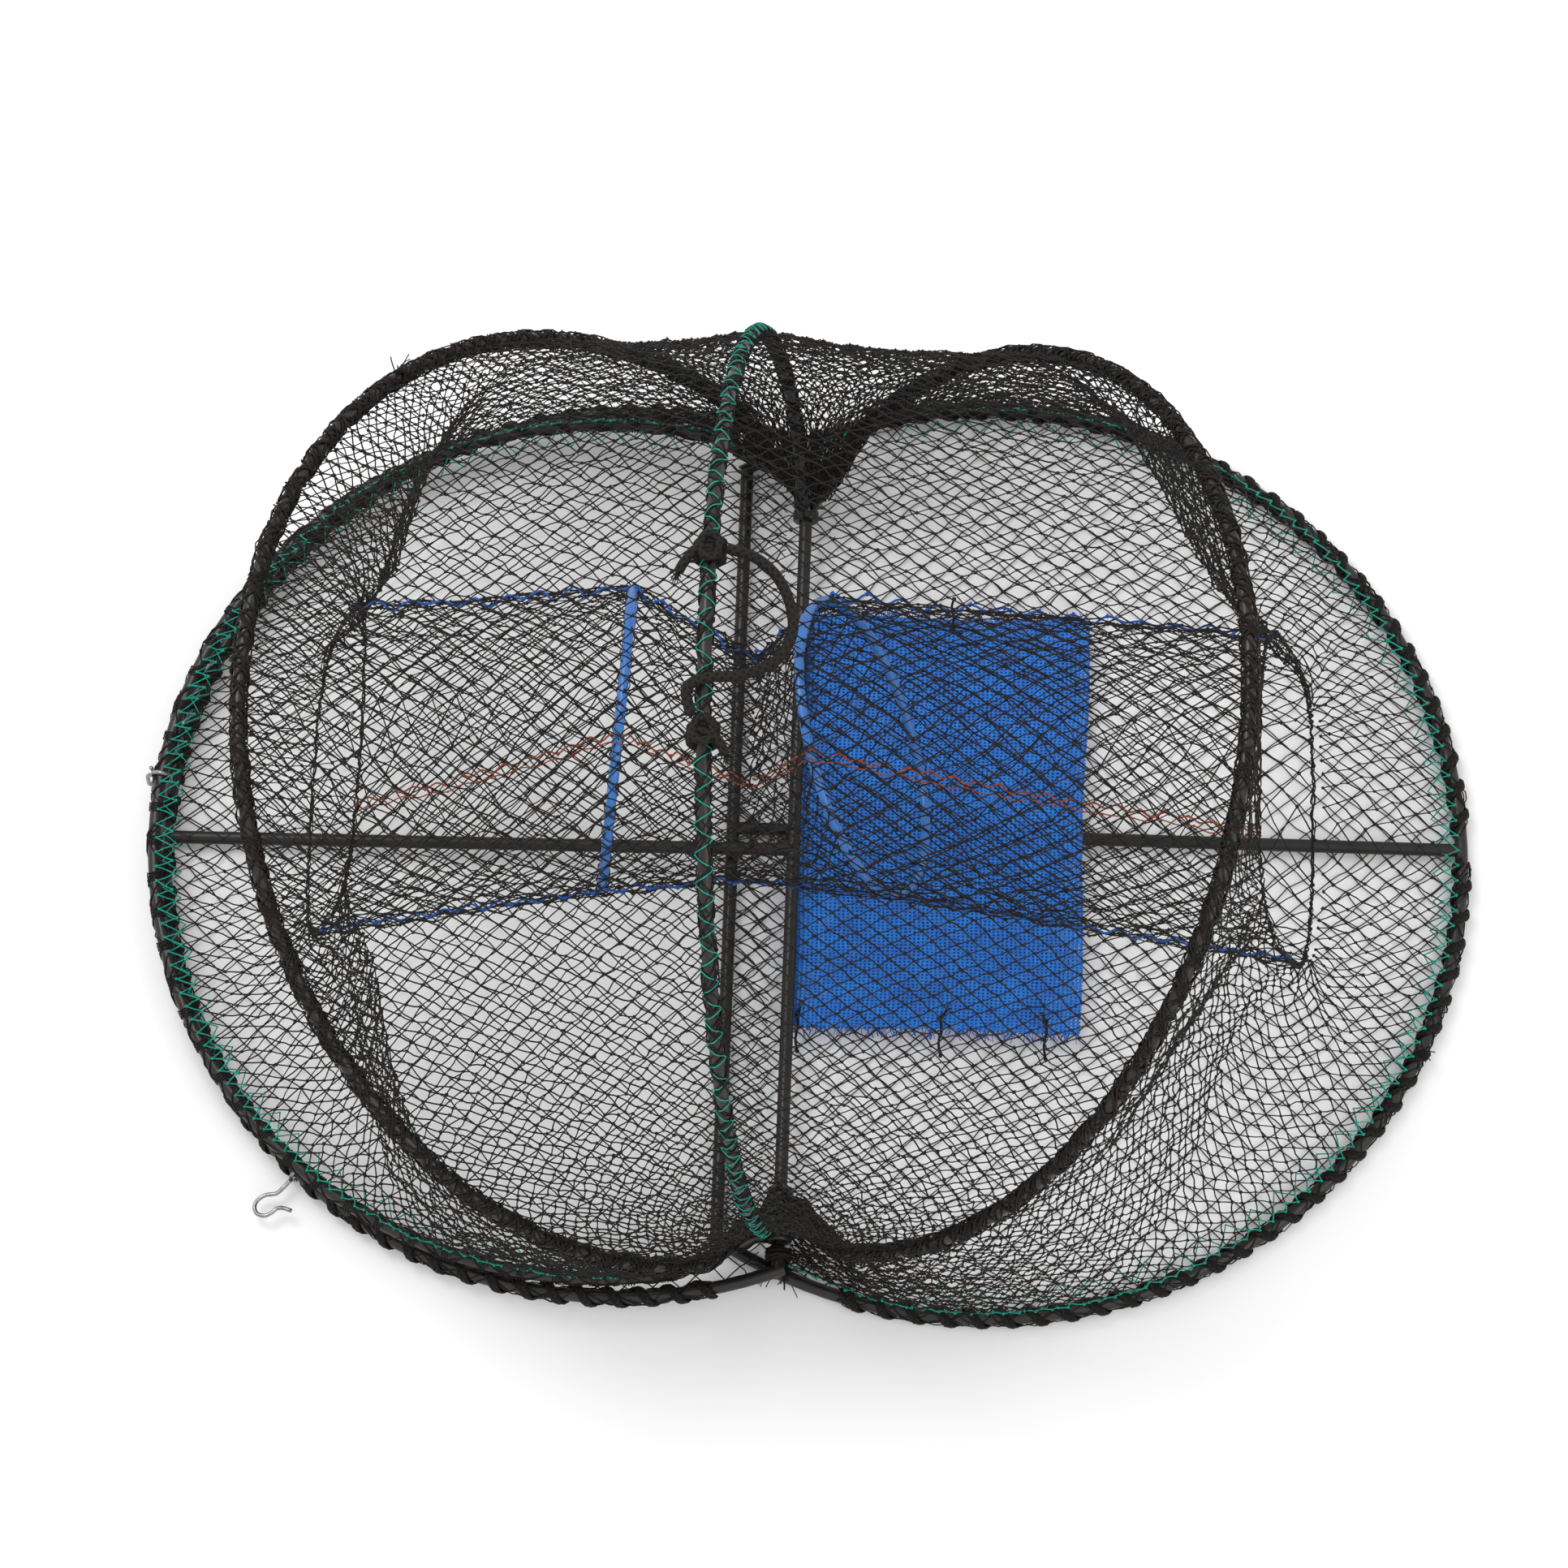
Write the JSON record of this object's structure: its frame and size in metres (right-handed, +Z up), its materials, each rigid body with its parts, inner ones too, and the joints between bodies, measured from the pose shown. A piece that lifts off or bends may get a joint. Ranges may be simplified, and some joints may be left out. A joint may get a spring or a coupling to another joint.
{
  "type": "folding crab trap",
  "caption": "Folding netted crab trap: hoops on one hinge bar over a two-half base, two funnel entrances with rings, side door hoop, clips, bait bag and carrying rope.",
  "frame": {"origin": "bottom centre of the bounding box, on the floor", "axes": "+X towards the right base hoop, +Y away from the front along the hinge bar, +Z up"},
  "size_m": [0.8165, 0.5998, 0.4259],
  "materials": {
    "coated_rod": "dark plastic coating over steel rod",
    "cord": "braided black cord",
    "clip_wire": "bright bent wire",
    "netting": "knotted dark twine netting",
    "hose": "blue plastic hose",
    "bag_mesh": "blue knitted mesh",
    "rope": "black braided rope"
  },
  "bodies": {
    "right_base": {"right_base_hoop": "coated_rod", "right_chord_bar": "coated_rod", "right_radial_bar": "coated_rod", "right_lashing": "cord", "hinge_lashings": "cord", "base_net_right": "netting", "door_net": "netting", "left_top_net": "netting", "right_top_net": "netting", "right_side_net": "netting", "funnel_left": "netting", "funnel_right": "netting", "ring_left": "hose", "ring_right": "hose", "bait_bag": "bag_mesh", "bag_ties": "rope"},
    "left_base": {"left_base_hoop": "coated_rod", "left_chord_bar": "coated_rod", "left_radial_bar": "coated_rod", "left_lashing": "cord", "base_net_left": "netting"},
    "door": {"door_hoop": "coated_rod"},
    "left_upper": {"left_hoop": "coated_rod"},
    "middle": {"middle_hoop": "coated_rod", "handle_rope": "rope", "handle_knots": "rope"},
    "right_upper": {"right_hoop": "coated_rod"},
    "side_clip": {"clip_side": "clip_wire"},
    "front_clip": {"clip_front": "clip_wire"}
  },
  "joints": [
    {"name": "base_fold", "type": "hinge", "parent": "right_base", "child": "left_base", "pos_m": [-0.0094, -0.005, 0.02], "axis": [0, 1, 0], "range_deg": [0, 115], "deforming": ["door_net", "left_top_net", "right_top_net", "right_side_net", "funnel_left", "funnel_right", "ring_left", "ring_right"]},
    {"name": "right_hoop_fold", "type": "hinge", "parent": "right_base", "child": "right_upper", "pos_m": [-0.0094, -0.005, 0.02], "axis": [0, 1, 0], "range_deg": [0, 48]},
    {"name": "middle_hoop_fold", "type": "hinge", "parent": "right_base", "child": "middle", "pos_m": [-0.0094, -0.005, 0.02], "axis": [0, 1, 0], "range_deg": [0, 80]},
    {"name": "left_hoop_fold", "type": "hinge", "parent": "right_base", "child": "left_upper", "pos_m": [-0.0094, -0.005, 0.02], "axis": [0, 1, 0], "range_deg": [0, 112]},
    {"name": "door_swing", "type": "hinge", "parent": "left_base", "child": "door", "pos_m": [-0.0094, -0.005, 0.02], "axis": [0, 1, 0], "range_deg": [0, 20]},
    {"name": "side_clip_swing", "type": "hinge", "parent": "door", "child": "side_clip", "pos_m": [-0.39845, 0.027, 0.02815], "axis": [0.1163, 0.9932, -0.0024], "range_deg": [0, 75]},
    {"name": "front_clip_swing", "type": "hinge", "parent": "left_base", "child": "front_clip", "pos_m": [-0.30134, -0.21657, 0.01017], "axis": [-0.7427, 0.6691, -0.025], "range_deg": [0, 50]}
  ],
  "couplings": [
    {"joint": "right_hoop_fold", "follows": "base_fold", "ratio": 0.41304},
    {"joint": "middle_hoop_fold", "follows": "base_fold", "ratio": 0.6913},
    {"joint": "left_hoop_fold", "follows": "base_fold", "ratio": 0.96957}
  ]
}
